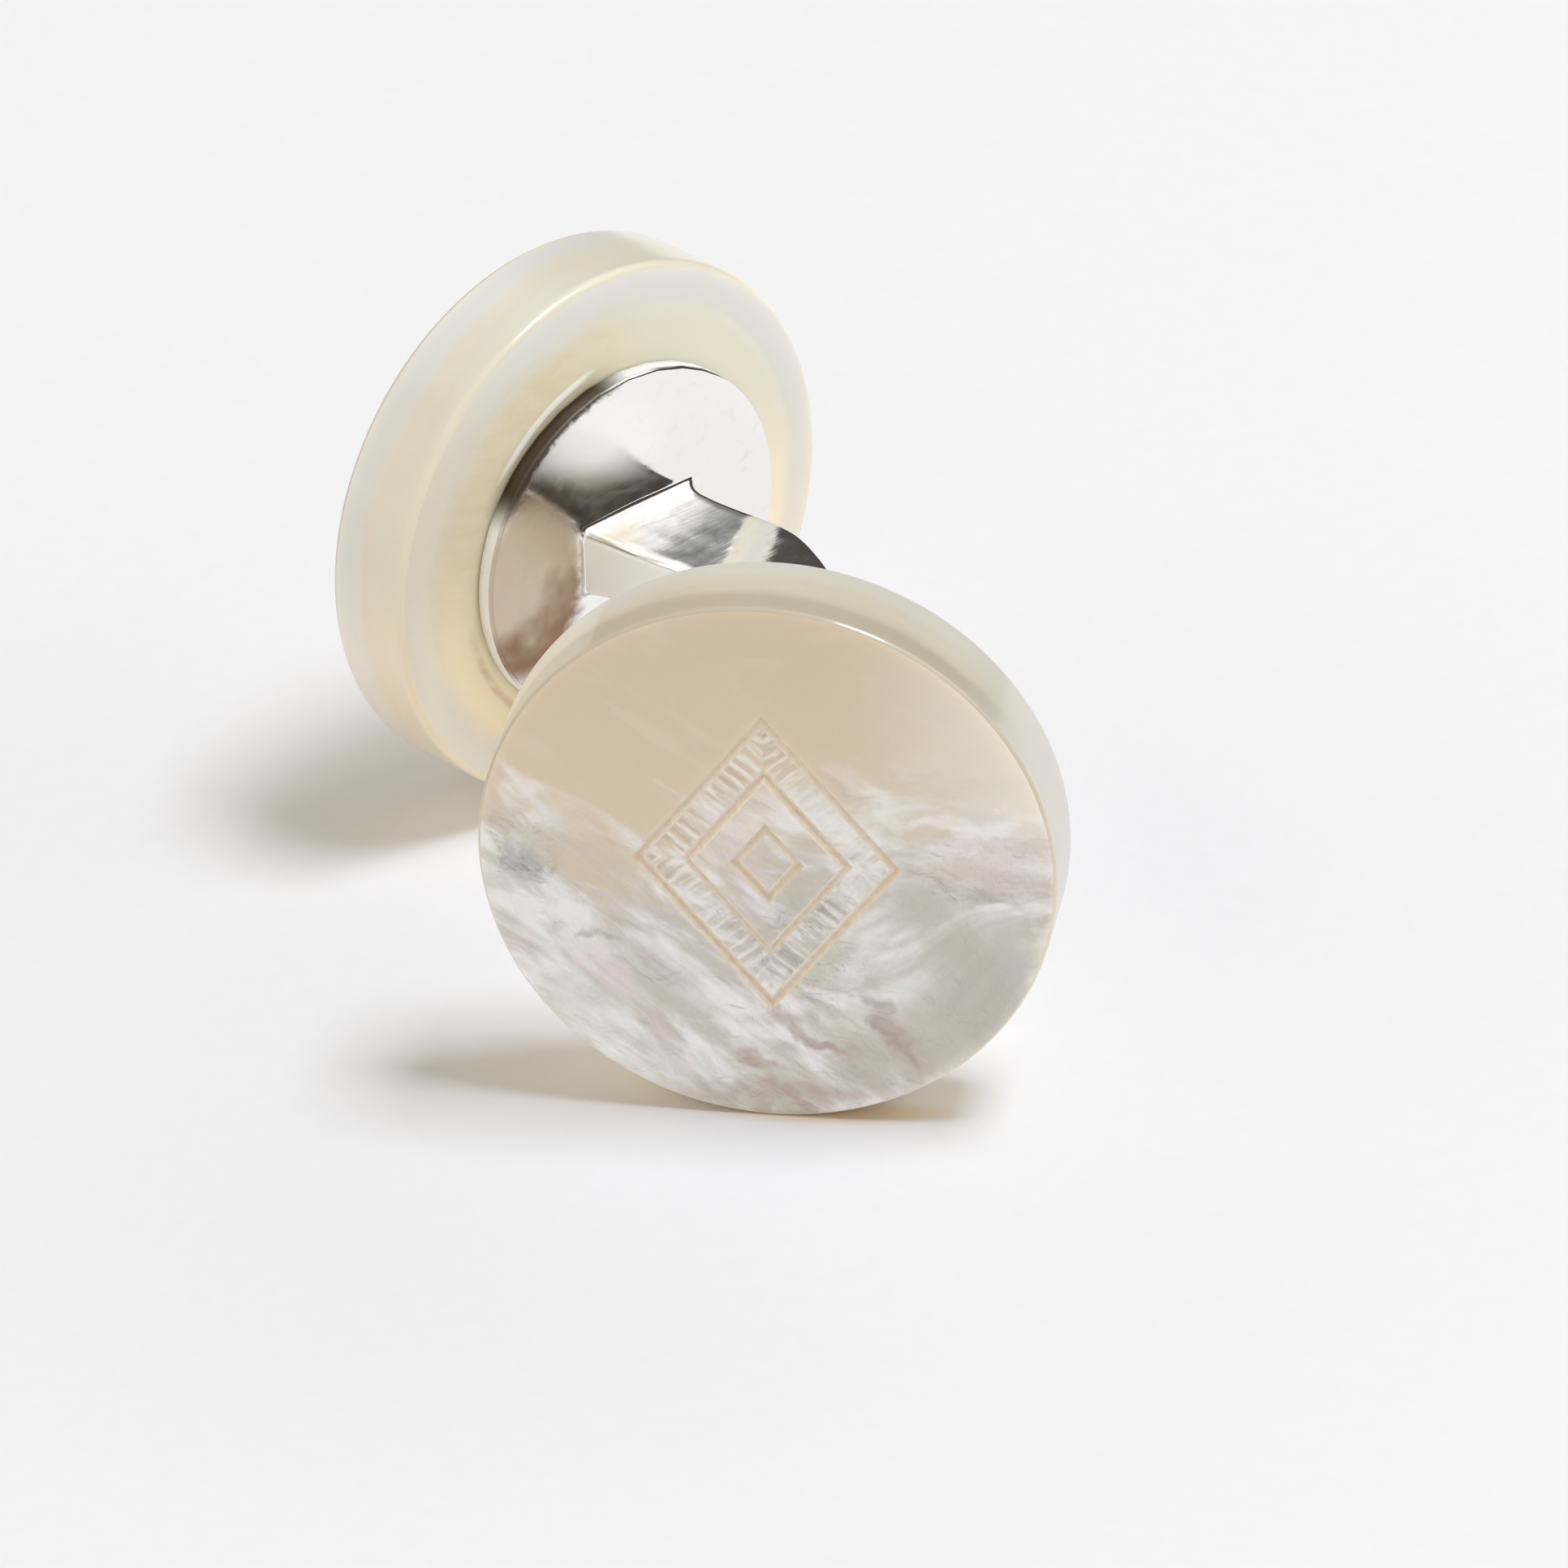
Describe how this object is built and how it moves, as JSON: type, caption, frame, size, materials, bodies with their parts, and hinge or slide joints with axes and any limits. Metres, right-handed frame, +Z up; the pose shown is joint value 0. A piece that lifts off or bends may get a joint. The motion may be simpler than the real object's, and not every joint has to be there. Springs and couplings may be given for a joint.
{
  "type": "double-sided cufflink",
  "caption": "Cufflink of round pearl-shell discs on a bent polished silver bar, lying on the discs' rims.",
  "frame": {"origin": "on the resting plane, below the middle of the bounding box", "axes": "+Z up, the discs standing on their rims; +Y from the engraved front disc to the rear disc; +X the side to which the bar bows"},
  "size_m": [0.0146, 0.0272, 0.015],
  "materials": {
    "pearl_shell": "gloss",
    "polished_silver": "polished"
  },
  "bodies": {
    "root": {"front_pearl_disc": "pearl_shell", "rear_pearl_disc": "pearl_shell", "silver_link": "polished_silver"}
  },
  "joints": []
}
